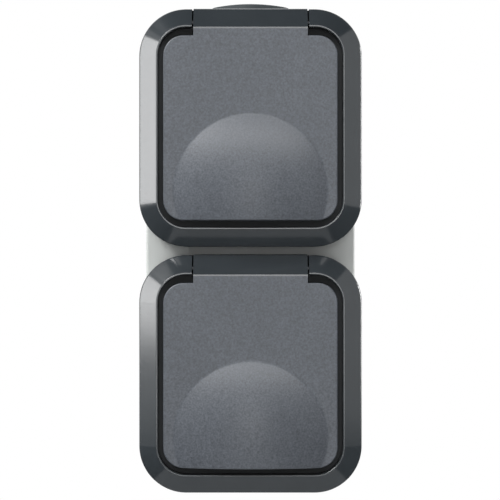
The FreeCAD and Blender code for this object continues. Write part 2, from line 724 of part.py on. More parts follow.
def make_lid_spring(name, gang):
    """Torsion spring round the pin: one leg lies under the lid, the other bears on the trough."""
    body = new_body(f"lid_spring_{name}", gang)
    coil_long = "(coil_turns * coil_pitch)"
    section = new_sketch(body, "XY_Plane", ahead=AXIS_Z, up=f"(-{AXIS_DEPTH})")
    draw_six_sided(section, "wire_radius", f"(-{coil_long} / 2)", "(-coil_radius)")
    coil = body.newObject("PartDesign::AdditiveHelix", f"{body.Name}_helix")
    coil.Profile = section
    coil.ReferenceAxis = (section, ["H_Axis"])
    coil.Mode = 0
    coil.setExpression("Pitch", tied("coil_pitch"))
    coil.setExpression("Height", tied(coil_long))
    DOC.recompute()
    lid_leg = new_sketch(body, "XY_Plane", ahead=AXIS_Z, up=f"(-{AXIS_DEPTH})")
    draw_six_sided(lid_leg, "wire_radius", f"(-{coil_long} / 2)", "(-coil_radius)")
    pad(body, lid_leg, f"({AXIS_Z} - ring_outer - 2 * wire_radius - leg_clear)", back=True)
    frame_leg = new_sketch(body, "XY_Plane", ahead=AXIS_Z, up=f"(-{AXIS_DEPTH})")
    draw_six_sided(frame_leg, "wire_radius", f"({coil_long} / 2)", "coil_radius")
    pad(body, frame_leg, f"(sqrt({TROUGH} ^ 2 - (coil_radius + wire_radius) ^ 2) - leg_clear)", back=True)
    return body


def make_box_seal(name, gang):
    """Flat gasket on the box rim round one mouth."""
    body = new_body(f"box_seal_{name}")
    ring = front_sketch(body, "box_deep")
    middle = f"({gang} * {MOUTH_MIDDLE})"
    draw_rounded(ring, MOUTH_WIDE, MOUTH_TALL, MOUTH_CORNER, y=middle)
    draw_rounded(ring, f"({MOUTH_WIDE} + 2 * seal_wide)", f"({MOUTH_TALL} + 2 * seal_wide)",
                 f"({MOUTH_CORNER} + seal_wide)", y=middle)
    pad(body, ring, "seal_thick")
    return body


def make_cup(name, gang):
    """Round plug recess with two guide ribs, pin holes and slots for the earth clips."""
    body = new_body(f"socket_cup_{name}", gang)
    outer = "(recess_radius + cup_wall)"
    wall = side_sketch(body)
    draw(wall, [
        (f"(-{CUP_BACK})", "0"),
        (f"(-{CUP_BACK})", outer),
        (f"(-{DECK_BACK} + flange_thick)", outer),
        (f"(-{DECK_BACK} + flange_thick)", "flange_radius"),
        (f"(-{DECK_BACK})", "flange_radius"),
        (f"(-{DECK_BACK})", outer),
        (f"(-{DECK})", outer),
        (f"(-{DECK})", "recess_radius"),
        (f"(-{RECESS_FLOOR})", "recess_radius"),
        (f"(-{RECESS_FLOOR})", "0"),
    ])
    turned = revolve(body, wall, "H_Axis")
    dress(body, "Chamfer", turned,
          lambda edge: lies_at_depth(edge, DECK) and not is_wide(edge, "recess_radius + cup_wall / 2"),
          Size="mouth_chamfer")
    ribs = front_sketch(body, RECESS_FLOOR)
    for side in (1, -1):
        near = f"({side} * (recess_radius - guide_high))"
        far = f"({side} * (recess_radius + cup_wall / 2))"
        left, right = (near, far) if side > 0 else (far, near)
        draw_box(ribs, left, right, "(-guide_wide / 2)", "(guide_wide / 2)")
    pad(body, ribs, "(recess_deep - guide_short)")
    slots = front_sketch(body, f"({DECK} - guide_short / 2)")
    for side in (1, -1):
        near = f"({side} * (recess_radius - slot_deep))"
        far = f"({side} * (recess_radius + slot_back))"
        low, high = (near, far) if side > 0 else (far, near)
        draw_box(slots, "(-slot_wide / 2)", "(slot_wide / 2)", low, high)
    pocket(body, slots, "recess_deep + cup_floor")
    holes = front_sketch(body, RECESS_FLOOR)
    for side in (1, -1):
        draw_circle(holes, "pin_hole", f"({side} * pin_spacing / 2)")
    draw_circle(holes, SCREW_HOLE)
    drilled = pocket(body, holes, "(cup_floor + 1)")
    dress(body, "Chamfer", drilled,
          lambda edge: lies_at_depth(edge, RECESS_FLOOR) and not is_wide(edge, f"2 * {SCREW_HOLE}"),
          Size=COUNTERSINK)
    return body


def make_insert_base(name, gang):
    """Insulating block behind the recess, with chambers for the contacts and two fixing ears."""
    body = new_body(f"insert_base_{name}", gang)
    block = front_sketch(body, BASE_BACK)
    draw_rounded(block, "base_wide", "base_tall", "base_corner")
    pad(body, block, "base_deep")
    ears = front_sketch(body, f"({EAR} - ear_plate)")
    draw_rounded(ears, f"(2 * {INSERT_SCREW_X} + ear_wide)", "ear_wide", "(ear_wide / 2 - 0.1)")
    pad(body, ears, "ear_plate")
    chambers = front_sketch(body, CUP_BACK)
    for side in (1, -1):
        middle = f"({side} * pin_spacing / 2)"
        draw_box(chambers, f"({middle} - chamber_half)", f"({middle} + chamber_half)",
                 "(-chamber_half)", "chamber_up")
    pocket(body, chambers, "(base_deep - base_floor)")
    channel = front_sketch(body, CUP_BACK)
    draw_box(channel, "(-strap_wide / 2 - strap_clear)", "(strap_wide / 2 + strap_clear)",
             "(-base_tall)", "base_tall")
    pocket(body, channel, "(strap_sunk + strap_thick)")
    earth_room = front_sketch(body, CUP_BACK)
    draw_box(earth_room, "(-terminal_size / 2 - contact_clear)", "(terminal_size / 2 + contact_clear)",
             "(-terminal_up - terminal_size / 2 - contact_clear)",
             "(-terminal_up + terminal_size / 2 + contact_clear)")
    pocket(body, earth_room, "(strap_sunk + strap_thick + terminal_deep + contact_clear)")
    holes = front_sketch(body, CUP_BACK)
    draw_circle(holes, "(screw_radius + screw_fit)")
    for side in (1, -1):
        draw_circle(holes, SCREW_HOLE, f"({side} * {INSERT_SCREW_X})")
    pocket(body, holes, "(base_deep - base_floor)")
    return body


def make_contact(label, side, gang):
    """Slotted sleeve for one plug pin, with a tail to its clamp."""
    body = new_body(label, gang)
    middle = f"({side} * pin_spacing / 2)"
    floor = f"({BASE_BACK} + base_floor)"
    sleeve = front_sketch(body, floor)
    draw_circle(sleeve, "(sleeve_bore + sleeve_wall)", middle)
    draw_circle(sleeve, "sleeve_bore", middle)
    pad(body, sleeve, f"({CUP_BACK} - {floor} - contact_clear)")
    slit = front_sketch(body, CUP_BACK)
    draw_box(slit, f"({middle} - 2 * sleeve_bore)", f"({middle} + 2 * sleeve_bore)",
             "(-sleeve_slit / 2)", "(sleeve_slit / 2)")
    pocket(body, slit, "(base_deep / 2)")
    clamp = front_sketch(body, f"({STRAP_BACK} - terminal_deep)")
    draw_box(clamp, f"({middle} - terminal_size / 2)", f"({middle} + terminal_size / 2)",
             "(terminal_up - terminal_size / 2)", "(terminal_up + terminal_size / 2)")
    pad(body, clamp, "(terminal_deep + strap_thick)")
    tail = front_sketch(body, f"({STRAP_BACK} - terminal_deep)")
    draw_box(tail, f"({middle} - tail_wide / 2)", f"({middle} + tail_wide / 2)",
             "(sleeve_bore + sleeve_wall / 4)", "terminal_up")
    pad(body, tail, "(2 * strap_thick)")
    drill_clamp(body, middle, "terminal_up")
    return body


def drill_clamp(body, x, z):
    """A screw hole from the front and a wire hole across, through the clamp block."""
    tapped = front_sketch(body, STRAP)
    draw_circle(tapped, "(screw_radius + screw_fit)", x, z)
    pocket(body, tapped, "(strap_thick + terminal_deep)")
    wire_way = new_sketch(body, "XY_Plane", ahead=z)
    draw_circle(wire_way, "wire_hole", x, f"(-{STRAP_BACK} + terminal_deep / 2)")
    pocket(body, wire_way, "(terminal_size + 1)", both=True)


def make_earth_clip(name, gang):
    """One bent strap: a sprung arm on each side of the recess and a clamp on its back."""
    body = new_body(f"earth_clip_{name}", gang)
    foot = STRAP_BACK
    out = "(recess_radius - strap_thick)"
    arm = [
        (foot, f"({out} - strap_thick)"),
        (f"({RECESS_FLOOR} + 1)", f"({out} - strap_thick)"),
        (f"({RECESS_FLOOR} + recess_deep * 0.3)", out),
        (f"({RECESS_FLOOR} + recess_deep * 0.6)", f"({out} - 3 * strap_thick)"),
        (f"({DECK} - guide_short)", f"({out} + 0.3)"),
    ]
    strip = side_sketch(body)
    draw(strip, strap_outline(arm))
    pad(body, strip, "strap_wide", both=True)
    clamp = front_sketch(body, f"({foot} - terminal_deep)")
    half = "(terminal_size / 2)"
    draw_box(clamp, f"(-{half})", half, f"(-terminal_up - {half})", f"(-terminal_up + {half})")
    pad(body, clamp, "terminal_deep")
    middle_hole = front_sketch(body, f"({STRAP} + 1)")
    draw_circle(middle_hole, SCREW_HOLE)
    pocket(body, middle_hole, "(2 * strap_thick + 1)")
    drill_clamp(body, "0", "(-terminal_up)")
    return body


def strap_outline(arm):
    """The strap's edge all round: out along one arm, back inside it, and the same on the other side."""
    outside = [(f"(-{depth})", z) for depth, z in arm]
    inside = [(f"(-{depth})", f"({z} - strap_thick)") for depth, z in arm[:0:-1]]
    inside.append((f"(-{STRAP})", f"({arm[0][1]} - strap_thick)"))
    upper = outside + inside
    lower = [(x, f"(-{z})") for x, z in reversed(upper)]
    return upper + lower


def make_screws(label, gang, spots, top, long, sunk=True):
    """Screws of one size with a cross recess, countersunk or with a pan head, all in one node."""
    body = new_body(label, gang)
    heads = front_sketch(body, f"({top} - head_thick)")
    for x, z in spots:
        draw_circle(heads, "screw_head", x, z)
    crowns = pad(body, heads, "head_thick")
    turned_edge = f"({top} - head_thick)" if sunk else top
    dress(body, "Chamfer", crowns, lambda edge: lies_at_depth(edge, turned_edge),
          Size="head_flare" if sunk else "head_round")
    shanks = front_sketch(body, f"({top} - head_thick / 2)")
    for x, z in spots:
        draw_circle(shanks, "screw_radius", x, z)
    pad(body, shanks, f"({long} - head_thick / 2)", back=True)
    for across, along in (("recess_arm", "recess_reach"), ("recess_reach", "recess_arm")):
        cross = front_sketch(body, top)
        for x, z in spots:
            draw_box(cross, f"({x} - {across})", f"({x} + {across})", f"({z} - {along})", f"({z} + {along})")
        pocket(body, cross, "recess_cut")
    return body


def make_grommet(name, end):
    """Soft cable entry, snapped into the end wall, with a tapered nozzle inside.

    The upper one stands on the end wall as a crowned gland, and the lower one has only a flat lip.
    """
    body = new_body(f"cable_grommet_{name}")
    face = f"({BOX_TALL} / 2)"
    neck = "(entry_radius - grommet_clear)"
    lip = "(entry_radius + grommet_lip)"
    inner_lip = "(entry_radius + grommet_lip / 2)"
    inside = f"({face} - box_wall)"
    tip = f"({inside} - grommet_lip_thick - nozzle_long)"
    section = new_sketch(body, "YZ_Plane", across=f"(-{ENTRY_DEPTH})")
    corners = [
        ("cable_radius", tip),
        ("(cable_radius + nozzle_wall)", tip),
        ("(cable_radius + 2 * nozzle_wall)", f"({inside} - grommet_lip_thick)"),
        (inner_lip, f"({inside} - grommet_lip_thick)"),
        (inner_lip, inside),
        (neck, inside),
        (neck, face),
    ]
    if end > 0:
        rim = f"({face} + gland_rise)"
        crown = f"({rim} + gland_crown)"
        bend = "(gland_radius ^ 2 - gland_flat ^ 2 - gland_crown ^ 2) / (2 * gland_crown)"
        corners += [
            ("gland_radius", face),
            ("gland_radius", rim, "0", f"({rim} - {bend})", 1),
            ("gland_flat", crown),
            ("cable_radius", crown),
        ]
    else:
        corners += [
            (lip, face),
            (f"({lip} - grommet_lip_thick)", f"({face} + grommet_lip_thick)"),
            ("cable_radius", f"({face} + grommet_lip_thick)"),
        ]
        corners = [(x, f"(-{z})") for x, z in reversed(corners)]
    draw(section, corners)
    revolve(body, section, "V_Axis")
    return body


def make_gang(name, gang):
    """Everything of one socket: frame, lid, hinge, recess and insert."""
    corners = [(f"({x} * {COVER_SCREW_X})", f"({z} * {COVER_SCREW_Z})") for x in (1, -1) for z in (1, -1)]
    ears = [(f"({x} * {INSERT_SCREW_X})", "0") for x in (1, -1)]
    clamps = [("(pin_spacing / 2)", "terminal_up"), ("(-pin_spacing / 2)", "terminal_up"),
              ("0", "(-terminal_up)")]
    return [
        make_box_seal(name, gang),
        make_cover_frame(name, gang),
        make_lid(name, gang),
        make_lid_seal(name, gang),
        make_hinge_pin(name, gang),
        make_lid_spring(name, gang),
        make_cup(name, gang),
        make_insert_base(name, gang),
        make_contact(f"live_contact_{name}", -1, gang),
        make_contact(f"neutral_contact_{name}", 1, gang),
        make_earth_clip(name, gang),
        make_screws(f"cover_screws_{name}", gang, corners, DECK, "cover_screw_long"),
        make_screws(f"insert_screws_{name}", gang, ears, f"({EAR} + head_thick)", "insert_screw_long",
                    sunk=False),
        make_screws(f"terminal_screws_{name}", gang, clamps, f"({STRAP} + head_thick)",
                    "terminal_screw_long", sunk=False),
        make_screws(f"cup_screw_{name}", gang, [("0", "0")], RECESS_FLOOR, "cup_screw_long"),
    ]


def check_document():
    """Stop at any object that failed to build."""
    for item in DOC.Objects:
        if "Invalid" in item.State or "Error" in item.State:
            raise RuntimeError(f"{item.Label} did not build: {item.State}")


def write_part(part):
    """Write one sub-part, once it is sound."""
    shape = part.Shape
    if shape.isNull() or not shape.isValid() or not shape.Solids:
        raise RuntimeError(f"{part.Label} is not a sound solid")
    shape.exportStep(os.path.join("parts", f"{part.Label}.step"))


def main():
    """Build every sub-part and write its file."""
    parts = [make_wall_box(), make_grommet("top", 1), make_grommet("bottom", -1)]
    for name, gang in GANGS.items():
        parts += make_gang(name, gang)
    DOC.recompute()
    check_document()
    os.makedirs("parts", exist_ok=True)
    for part in parts:
        write_part(part)


main()
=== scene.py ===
import logging
import math
from dataclasses import dataclass, field
from enum import Enum
from typing import Any, Iterable, Mapping, Optional, Sequence

import bpy
import numpy as np
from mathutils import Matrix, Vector


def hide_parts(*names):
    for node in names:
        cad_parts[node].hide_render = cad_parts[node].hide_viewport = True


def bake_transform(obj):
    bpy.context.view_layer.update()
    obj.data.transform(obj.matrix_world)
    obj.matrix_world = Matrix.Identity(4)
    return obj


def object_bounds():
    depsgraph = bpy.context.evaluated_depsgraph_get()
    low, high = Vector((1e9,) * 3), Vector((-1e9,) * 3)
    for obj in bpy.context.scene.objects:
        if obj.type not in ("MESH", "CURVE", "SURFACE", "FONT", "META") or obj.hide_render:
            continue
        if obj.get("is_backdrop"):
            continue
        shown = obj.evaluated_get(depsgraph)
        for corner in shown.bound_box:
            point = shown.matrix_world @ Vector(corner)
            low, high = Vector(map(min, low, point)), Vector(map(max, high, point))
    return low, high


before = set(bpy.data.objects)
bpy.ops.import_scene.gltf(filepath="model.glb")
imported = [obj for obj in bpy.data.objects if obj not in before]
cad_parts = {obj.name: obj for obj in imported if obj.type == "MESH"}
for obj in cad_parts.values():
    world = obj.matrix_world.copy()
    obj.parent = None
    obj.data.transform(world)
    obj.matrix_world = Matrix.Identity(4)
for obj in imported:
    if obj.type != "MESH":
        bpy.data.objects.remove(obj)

LOG = logging.getLogger("weatherproof_socket")
MM = 0.001

Node = bpy.types.ShaderNode
Tree = bpy.types.ShaderNodeTree
Material = bpy.types.Material
BlenderObject = bpy.types.Object
Source = tuple[Node, str | int]

# Sockets of the Mix node, which has one set for each kind of value.
MIX_FACTOR = 0
MIX_FLOAT_A, MIX_FLOAT_B, MIX_FLOAT_OUT = 2, 3, 0
MIX_VECTOR_A, MIX_VECTOR_B, MIX_VECTOR_OUT = 4, 5, 1
MIX_COLOUR_A, MIX_COLOUR_B, MIX_COLOUR_OUT = 6, 7, 2

# Typical refractive indices: moulded thermoplastics, and filled rubber, whose skin hardly shines.
PLASTIC_IOR = 1.5
RUBBER_IOR = 1.52
RUBBER_SHEEN = 0.15
RUBBER_DULLNESS = (0.75, 0.95)

# How each noise breaks up, and between which of its values a finish goes from one colour to the
# other. A noise with fewer octaves is plainer.
STREAK_NOISE = {"Detail": 3.0, "Roughness": 0.6, "Distortion": 0.4}
STREAK_SPAN = (0.38, 0.68)
GRAIN_NOISE = {"Detail": 2.5, "Roughness": 0.55}
GRAIN_SPAN = (0.3, 0.7)
WAVE_NOISE = {"Detail": 1.0}
BLOOM_NOISE = {"Detail": 4.0, "Roughness": 0.65}
BLOOM_SPAN = (0.45, 0.8)
RUBBER_GRAIN_NOISE = {"Detail": 2.0}
METAL_NOISE = {"Detail": 3.0}
METAL_SPOT_MM = 2.5
METAL_SPOT_SPAN = (0.4, 0.75)
WHOLE_SPAN = (0.0, 1.0)


class Gang(Enum):
    """One of the two sockets, with the height of its middle in millimetres."""

    UPPER = ("upper", 37.6)
    LOWER = ("lower", -37.6)

    @property
    def label(self) -> str:
        """The word that ends this gang's piece names."""
        return self.value[0]

    @property
    def middle(self) -> float:
        """Height of the gang's middle, in millimetres."""
        return self.value[1]

    @property
    def lid_body(self) -> str:
        """The body that this gang's lid swings with."""
        return f"lid_{self.label}"


class Lay(Enum):
    """Which way drawn or turned metal keeps its fine lines."""

    ALONG_X = (0.06, 1.0, 1.0)
    ALONG_Y = (1.0, 0.06, 1.0)
    NONE = (1.0, 1.0, 1.0)


def linear(colour: str) -> tuple[float, float, float, float]:
    """Turn an sRGB hex colour into the linear value that a shader takes.

    Args:
        colour: Six hex digits after a hash sign.

    Returns:
        Red, green, blue and a full alpha.
    """
    parts = np.array([int(colour[start:start + 2], 16) for start in (1, 3, 5)]) / 255.0
    # The sRGB standard's own curve: a straight foot, then a power.
    low = parts / 12.92
    high = ((parts + 0.055) / 1.055) ** 2.4
    red, green, blue = np.where(parts <= 0.04045, low, high)
    return float(red), float(green), float(blue), 1.0


def around(middle: float, spread: float) -> tuple[float, float]:
    """The two ends of a span about its middle."""
    return middle - spread, middle + spread


def per_metre(width_mm: float) -> float:
    """Noise scale on coordinates in metres that gives features of a width in millimetres."""
    return 1.0 / (width_mm * MM)


def add_node(tree: Tree, kind: str, settings: Optional[Mapping[str | int, Any]] = None,
             links: Optional[Mapping[str | int, Source]] = None) -> Node:
    """Add one shader node.

    Args:
        tree: The node tree that gets it.
        kind: Blender's name for the node, without the ShaderNode in front.
        settings: Values by input name or number, or by property name with a dot in front.
        links: For an input, the node and output that feed it.

    Returns:
        The new node.
    """
    node = tree.nodes.new(f"ShaderNode{kind}")
    for name, value in (settings or {}).items():
        if isinstance(name, str) and name.startswith("."):
            setattr(node, name[1:], value)
        else:
            node.inputs[name].default_value = value
    for name, (source, output) in (links or {}).items():
        tree.links.new(source.outputs[output], node.inputs[name])
    return node


def empty_material(name: str) -> tuple[Material, Tree]:
    """A material with no nodes yet, and its tree."""
    material = bpy.data.materials.new(name)
    material.use_nodes = True
    material.node_tree.nodes.clear()
    return material, material.node_tree


def add_ramp(tree: Tree, factor: Source, stops: Iterable[tuple[float, str]]) -> Node:
    """Add a ramp between two colours.

    Args:
        tree: The node tree that gets it.
        factor: The node and output that drive it.
        stops: Two places from 0 to 1, each with its sRGB hex colour.

    Returns:
        The ramp node.
    """
    ramp = add_node(tree, "ValToRGB", links={"Fac": factor})
    for element, (place, colour) in zip(ramp.color_ramp.elements, stops):
        element.position = place
        element.color = linear(colour)
    return ramp


def add_span(tree: Tree, value: Source, given: tuple[float, float],
             wanted: tuple[float, float]) -> Node:
    """Add a node that carries a value from one span of numbers over to another.

    Args:
        tree: The node tree that gets it.
        value: The node and output that drive it.
        given: Ends of the span that the value runs through.
        wanted: Ends of the span that comes out.

    Returns:
        The node, whose output is named Result.
    """
    return add_node(tree, "MapRange", {"From Min": given[0], "From Max": given[1],
                                       "To Min": wanted[0], "To Max": wanted[1]}, {"Value": value})


@dataclass(frozen=True)
class MouldedPlastic:
    """An injection-moulded thermoplastic: slow flow marks in the colour, fine grain from the mould.

    The grain is the mould steel's own surface. A spark-eroded mould leaves rounded pits that break
    up the gloss, and a polished one leaves only a slow waviness.
    """

    name: str
    colour: str
    streak: str
    roughness: float
    roughness_spread: float
    grain_mm: float
    grain_rise_mm: float
    streak_mm: float = 22.0
    waviness_mm: float = 6.0
    waviness_rise_mm: float = 0.0
    fleck: float = 0.0

    def surface(self, tree: Tree, place: Node) -> tuple[Source, Source, Source]:
        """Add the nodes of this surface.

        Args:
            tree: The node tree that gets them.
            place: The texture coordinates.

        Returns:
            What gives the colour, the roughness and the normal.
        """
        streaks = add_node(tree, "TexNoise", {"Scale": per_metre(self.streak_mm)} | STREAK_NOISE,
                           {"Vector": (place, "Object")})
        grain = add_node(tree, "TexNoise", {"Scale": per_metre(self.grain_mm)} | GRAIN_NOISE,
                         {"Vector": (place, "Object")})
        tint = add_ramp(tree, (streaks, "Fac"), zip(STREAK_SPAN, (self.colour, self.streak)))
        speckled = add_node(tree, "Mix", {".data_type": "RGBA", ".blend_type": "SOFT_LIGHT",
                                          MIX_FACTOR: self.fleck},
                            {MIX_COLOUR_A: (tint, "Color"), MIX_COLOUR_B: (grain, "Fac")})
        gloss = add_span(tree, (grain, "Fac"), GRAIN_SPAN,
                         around(self.roughness, self.roughness_spread))
        waves = add_node(tree, "TexNoise", {"Scale": per_metre(self.waviness_mm)} | WAVE_NOISE,
                         {"Vector": (place, "Object")})
        slow = add_node(tree, "Bump", {"Strength": 1.0, "Distance": self.waviness_rise_mm * MM},
                        {"Height": (waves, "Fac")})
        fine = add_node(tree, "Bump", {"Strength": 1.0, "Distance": self.grain_rise_mm * MM},
                        {"Height": (grain, "Fac"), "Normal": (slow, "Normal")})
        return (speckled, MIX_COLOUR_OUT), (gloss, "Result"), (fine, "Normal")

    def make(self) -> Material:
        """Build the material.

        Returns:
            The finished material.
        """
        material, tree = empty_material(self.name)
        colour, roughness, normal = self.surface(tree, add_node(tree, "TexCoord"))
        shader = add_node(tree, "BsdfPrincipled", {"IOR": PLASTIC_IOR},
                          {"Base Color": colour, "Roughness": roughness, "Normal": normal})
        add_node(tree, "OutputMaterial", links={"Surface": (shader, "BSDF")})
        return material


@dataclass(frozen=True)
class TwoFinishPlastic:
    """One moulding whose mould is worked in two ways, with a sharp line between them."""

    name: str
    main: MouldedPlastic
    other: MouldedPlastic

    def mask(self, tree: Tree, apart: Node) -> Source:
        """Add the nodes that tell the other finish from the main one.

        Args:
            tree: The node tree that gets them.
            apart: The three Object coordinates.

        Returns:
            One where the other finish is, and nought elsewhere.
        """
        raise NotImplementedError

    def make(self) -> Material:
        """Build the material.

        Returns:
            The finished material.
        """
        material, tree = empty_material(self.name)
        place = add_node(tree, "TexCoord")
        apart = add_node(tree, "SeparateXYZ", links={"Vector": (place, "Object")})
        there = self.mask(tree, apart)
        main = self.main.surface(tree, place)
        other = self.other.surface(tree, place)
        colour = add_node(tree, "Mix", {".data_type": "RGBA"},
                          {MIX_FACTOR: there, MIX_COLOUR_A: main[0], MIX_COLOUR_B: other[0]})
        roughness = add_node(tree, "Mix", {},
                             {MIX_FACTOR: there, MIX_FLOAT_A: main[1], MIX_FLOAT_B: other[1]})
        normal = add_node(tree, "Mix", {".data_type": "VECTOR"},
                          {MIX_FACTOR: there, MIX_VECTOR_A: main[2], MIX_VECTOR_B: other[2]})
        shader = add_node(tree, "BsdfPrincipled", {"IOR": PLASTIC_IOR},
                          {"Base Color": (colour, MIX_COLOUR_OUT),
                           "Roughness": (roughness, MIX_FLOAT_OUT),
                           "Normal": (normal, MIX_VECTOR_OUT)})
        add_node(tree, "OutputMaterial", links={"Surface": (shader, "BSDF")})
        return material


@dataclass(frozen=True)
class FoldedPlastic(TwoFinishPlastic):
    """A textured flat with a polished fold over the hinge.

    The fold is known by its height in a gang, and both gangs share it because the height is wrapped
    round by the distance between them.
    """

    pitch_mm: float
    fold_mm: float

    def mask(self, tree: Tree, apart: Node) -> Source:
        """One above the fold line: wrap(z, pitch) > pitch / 2 + fold."""
        line = (self.pitch_mm / 2 + self.fold_mm) * MM
        height = add_node(tree, "Math", {".operation": "WRAP", 1: self.pitch_mm * MM, 2: 0.0},
                          {0: (apart, "Z")})
        above = add_node(tree, "Math", {".operation": "GREATER_THAN", 1: line}, {0: (height, 0)})
        return above, 0


@dataclass(frozen=True)
class SunkShadedPlastic(TwoFinishPlastic):
    """A polished bevel with a matt ground, which lies less far in front of the wall; the ground is
    painted darker as shade.
    """

    ground_mm: float

    def mask(self, tree: Tree, apart: Node) -> Source:
        # The darker colour of the ground behind this depth is painted shade.
        """One behind the ground's level: y > -ground."""
        behind = add_node(tree, "Math", {".operation": "GREATER_THAN", 1: -self.ground_mm * MM},
                          {0: (apart, "Y")})
        return behind, 0


@dataclass(frozen=True)
class SoftRubber:
    """A moulded elastomer: nearly black and dull, with a faint pale bloom in patches."""

    name: str
    colour: str
    bloom: str
    bloom_mm: float
    grain_mm: float
    grain_rise_mm: float

    def make(self) -> Material:
        """Build the material.

        Returns:
            The finished material.
        """
        material, tree = empty_material(self.name)
        place = add_node(tree, "TexCoord")
        patches = add_node(tree, "TexNoise", {"Scale": per_metre(self.bloom_mm)} | BLOOM_NOISE,
                           {"Vector": (place, "Object")})
        grain = add_node(tree, "TexNoise", {"Scale": per_metre(self.grain_mm)} | RUBBER_GRAIN_NOISE,
                         {"Vector": (place, "Object")})
        tint = add_ramp(tree, (patches, "Fac"), zip(BLOOM_SPAN, (self.colour, self.bloom)))
        dull = add_span(tree, (patches, "Fac"), WHOLE_SPAN, RUBBER_DULLNESS)
        fine = add_node(tree, "Bump", {"Strength": 1.0, "Distance": self.grain_rise_mm * MM},
                        {"Height": (grain, "Fac")})
        shader = add_node(tree, "BsdfPrincipled",
                          {"IOR": RUBBER_IOR, "Specular IOR Level": RUBBER_SHEEN},
                          {"Base Color": (tint, "Color"), "Roughness": (dull, "Result"),
                           "Normal": (fine, "Normal")})
        add_node(tree, "OutputMaterial", links={"Surface": (shader, "BSDF")})
        return material


@dataclass(frozen=True)
class WorkedMetal:
    """A bare or plated metal: bright, with dull spots and the fine lines of its making."""

    name: str
    colour: str
    dull: str
    roughness: float
    roughness_spread: float
    line_mm: float
    line_rise_mm: float = 0.002
    lay: Lay = Lay.NONE

    def make(self) -> Material:
        """Build the material.

        Returns:
            The finished material.
        """
        material, tree = empty_material(self.name)
        place = add_node(tree, "TexCoord")
        turned = add_node(tree, "Mapping", {"Scale": self.lay.value}, {"Vector": (place, "Object")})
        lines = add_node(tree, "TexNoise", {"Scale": per_metre(self.line_mm)} | METAL_NOISE,
                         {"Vector": (turned, "Vector")})
        spots = add_node(tree, "TexNoise", {"Scale": per_metre(METAL_SPOT_MM)} | METAL_NOISE,
                         {"Vector": (place, "Object")})
        tint = add_ramp(tree, (spots, "Fac"), zip(METAL_SPOT_SPAN, (self.colour, self.dull)))
        gloss = add_span(tree, (spots, "Fac"), WHOLE_SPAN,
                         around(self.roughness, self.roughness_spread))
        fine = add_node(tree, "Bump", {"Strength": 1.0, "Distance": self.line_rise_mm * MM},
                        {"Height": (lines, "Fac")})
        shader = add_node(tree, "BsdfPrincipled", {"Metallic": 1.0},
                          {"Base Color": (tint, "Color"), "Roughness": (gloss, "Result"),
                           "Normal": (fine, "Normal")})
        add_node(tree, "OutputMaterial", links={"Surface": (shader, "BSDF")})
        return material


Finish = MouldedPlastic | TwoFinishPlastic | SoftRubber | WorkedMetal

# Weather-resistant ASA from a polished mould: the bevel is glossy and mirrors the lamps.
FRAME_GLOSS = MouldedPlastic("moulded_gloss_asa_anthracite", "#292D30", "#2C3033", 0.13, 0.02,
                             grain_mm=0.5, grain_rise_mm=0.0012,
                             waviness_mm=9.0, waviness_rise_mm=0.004)
# Moat ground and skirt: etched matt to mirror nothing, and painted darker as shade so the moat
# reads black.
FRAME_MATT_AND_SHADE = MouldedPlastic("etched_asa_anthracite_painted_shade", "#202427", "#24282B", 0.6, 0.05,
                            grain_mm=0.45, grain_rise_mm=0.008)
FRAME_FINISH = SunkShadedPlastic("moulded_asa_frame", FRAME_GLOSS, FRAME_MATT_AND_SHADE, ground_mm=42.4)
# The same ASA from a spark-eroded mould: fine round pits, drawn 0.55 mm apart so that they show,
# spread each lamp into a soft glow.
LID_FLAT = MouldedPlastic("spark_eroded_asa_anthracite", "#3E4248", "#42464C", 0.4, 0.05,
                          grain_mm=0.55, grain_rise_mm=0.0157, fleck=0.9)
# The lid's fold over the hinge has the frame's own gloss, so the two read as one bevel.
LID_FINISH = FoldedPlastic("moulded_asa_lid", LID_FLAT, FRAME_GLOSS, pitch_mm=75.2, fold_mm=30.0)
# Light-grey ABS, satin: the box is a plain moulding with a faint pearl skin.
BOX_SATIN = MouldedPlastic("moulded_abs_light_grey", "#B0B3B1", "#A9ACAA", 0.38, 0.05,
                           grain_mm=0.6, grain_rise_mm=0.003)
# Glass-filled polycarbonate round the plug: satin, a little darker than the lid.
INSERT_SATIN = MouldedPlastic("moulded_polycarbonate_anthracite", "#3D4246", "#42474B", 0.33, 0.04,
                              grain_mm=0.5, grain_rise_mm=0.003)
# Unfilled polyamide behind it: off-white and slightly waxy.
BASE_WAXY = MouldedPlastic("moulded_polyamide_natural", "#DAD9D2", "#D2D1C8", 0.42, 0.05,
                           grain_mm=0.7, grain_rise_mm=0.004)
# Black EPDM seals and softer grey cable grommets: dull, with a bloom in patches of a few
# millimetres.
SEAL_RUBBER = SoftRubber("moulded_epdm_black", "#1B1C1E", "#2A2C2E",
                         bloom_mm=7.0, grain_mm=0.4, grain_rise_mm=0.006)
GROMMET_RUBBER = SoftRubber("moulded_elastomer_grey", "#3F4345", "#4B4F50",
                            bloom_mm=9.0, grain_mm=0.5, grain_rise_mm=0.006)
# Zinc plating: a bright satin grey with duller spots.
SCREW_STEEL = WorkedMetal("zinc_plated_steel", "#C3C6C8", "#A9ACAE", 0.3, 0.07, line_mm=0.25)
# Blackened so that the pin's ends don't show in the gaps beside the fold.
PIN_STEEL = WorkedMetal("blackened_steel", "#3A3B3D", "#303133", 0.32, 0.05,
                        line_mm=0.2, lay=Lay.ALONG_X)
# Drawn wire, rolled strip: each keeps the fine lines of its making under a soft shine.
SPRING_WIRE = WorkedMetal("drawn_stainless_wire", "#B7B9BA", "#9EA0A2", 0.26, 0.05, line_mm=0.12)
CONTACT_BRASS = WorkedMetal("pressed_brass", "#D8B066", "#BC924C", 0.3, 0.06,
                            line_mm=0.3, lay=Lay.ALONG_Y)
CLIP_NICKEL = WorkedMetal("nickel_plated_bronze", "#CFC9BD", "#B5AFA3", 0.26, 0.05,
                          line_mm=0.3, lay=Lay.ALONG_Y)


